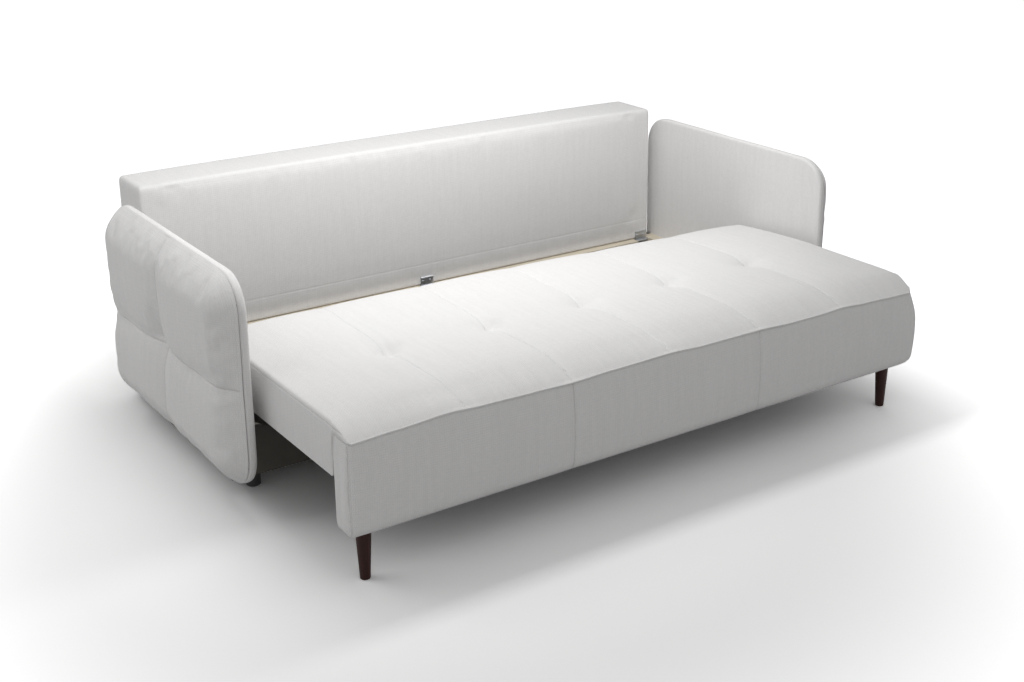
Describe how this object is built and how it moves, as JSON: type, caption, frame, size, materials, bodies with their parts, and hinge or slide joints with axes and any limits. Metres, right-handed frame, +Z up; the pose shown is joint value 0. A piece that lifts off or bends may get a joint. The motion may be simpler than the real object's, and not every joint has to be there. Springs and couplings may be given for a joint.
{
  "type": "sofa bed",
  "caption": "Upholstered sofa bed with a seat that lifts forward on side links, a back that folds down flat, quilted pillow arms, a bedding box and tapered wooden legs",
  "frame": {"origin": "on the floor, under the middle of the sofa bed with its seat pulled out and its back upright", "axes": "X along the seat, Y from the seat's front to the back, Z up"},
  "size_m": [2.1812, 1.5388, 0.725],
  "materials": {
    "upholstery": "pale grey basket weave",
    "light_wood": "planed pale softwood",
    "box_board": "dark laminated chipboard",
    "leg_wood": "dark red-brown satin stain",
    "link_steel": "black powder coat",
    "zinc": "bright zinc plating",
    "spring_wire": "black lacquered wire",
    "cover_cloth": "black non-woven cloth",
    "black_plastic": "black, matt",
    "glide_plastic": "black, matt"
  },
  "bodies": {
    "box": {"box_rail_left": "light_wood", "box_rail_right": "light_wood", "ledge_beam_front": "light_wood", "ledge_beam_rear": "light_wood", "box_side_left": "box_board", "box_side_right": "box_board", "box_front_panel": "box_board", "box_rear_panel": "box_board", "box_floor_board": "box_board", "arm_board_left": "box_board", "arm_board_right": "box_board", "arm_pillow_left": "upholstery", "arm_pillow_right": "upholstery", "arm_slab_left": "upholstery", "arm_slab_right": "upholstery", "foot_front_left": "black_plastic", "foot_front_right": "black_plastic", "foot_rear_left": "black_plastic", "foot_rear_right": "black_plastic", "base_plate_left": "link_steel", "base_plate_right": "link_steel", "hinge_brackets": "zinc", "hinge_pins": "zinc", "box_screws": "zinc", "base_pivots": "zinc", "arm_bolts": "zinc"},
    "front_links": {"link_front_left": "link_steel", "link_front_right": "link_steel"},
    "rear_links": {"link_rear_left": "link_steel", "link_rear_right": "link_steel"},
    "seat": {"seat_apron": "upholstery", "seat_cushion": "upholstery", "apron_front_board": "box_board", "apron_rear_board": "box_board", "apron_base": "box_board", "seat_rail_left": "light_wood", "seat_rail_right": "light_wood", "seat_rail_front": "light_wood", "seat_rail_rear": "light_wood", "seat_cross_rails": "light_wood", "seat_plate_left": "link_steel", "seat_plate_right": "link_steel", "seat_screws": "zinc", "seat_pivots": "zinc", "leg_studs": "zinc", "seat_springs": "spring_wire", "dust_cover": "cover_cloth", "wooden_leg_left": "leg_wood", "wooden_leg_right": "leg_wood"},
    "back": {"back_shell": "upholstery", "back_rail_bottom": "light_wood", "back_rail_top": "light_wood", "back_posts": "light_wood", "hinge_leaves": "zinc", "leaf_screws": "zinc"},
    "glide_front_left": {"glide_front_left": "glide_plastic"},
    "glide_front_right": {"glide_front_right": "glide_plastic"},
    "glide_rear_left": {"glide_rear_left": "glide_plastic"},
    "glide_rear_right": {"glide_rear_right": "glide_plastic"}
  },
  "joints": [
    {"name": "front_links_swing", "type": "hinge", "parent": "box", "child": "front_links", "pos_m": [0, -0.0345, 0.205], "axis": [1, 0, 0], "range_deg": [-150.2, 0]},
    {"name": "rear_links_swing", "type": "hinge", "parent": "box", "child": "rear_links", "pos_m": [0, 0.1055, 0.205], "axis": [1, 0, 0], "range_deg": [-150.2, 0]},
    {"name": "seat_level", "type": "hinge", "parent": "front_links", "child": "seat", "pos_m": [0, -0.2865, 0.272], "axis": [1, 0, 0], "range_deg": [0, 150.2]},
    {"name": "back_fold", "type": "hinge", "parent": "box", "child": "back", "pos_m": [0, 0.573, 0.225], "axis": [1, 0, 0], "range_deg": [0, 90]},
    {"name": "glide_front_left_screw", "type": "slide", "parent": "box", "child": "glide_front_left", "axis": [0, 0, 1], "range_m": [-0.008, 0]},
    {"name": "glide_front_right_screw", "type": "slide", "parent": "box", "child": "glide_front_right", "axis": [0, 0, 1], "range_m": [-0.008, 0]},
    {"name": "glide_rear_left_screw", "type": "slide", "parent": "box", "child": "glide_rear_left", "axis": [0, 0, 1], "range_m": [-0.008, 0]},
    {"name": "glide_rear_right_screw", "type": "slide", "parent": "box", "child": "glide_rear_right", "axis": [0, 0, 1], "range_m": [-0.008, 0]}
  ],
  "couplings": [
    {"joint": "rear_links_swing", "follows": "front_links_swing", "ratio": 1},
    {"joint": "seat_level", "follows": "front_links_swing", "ratio": -1}
  ]
}
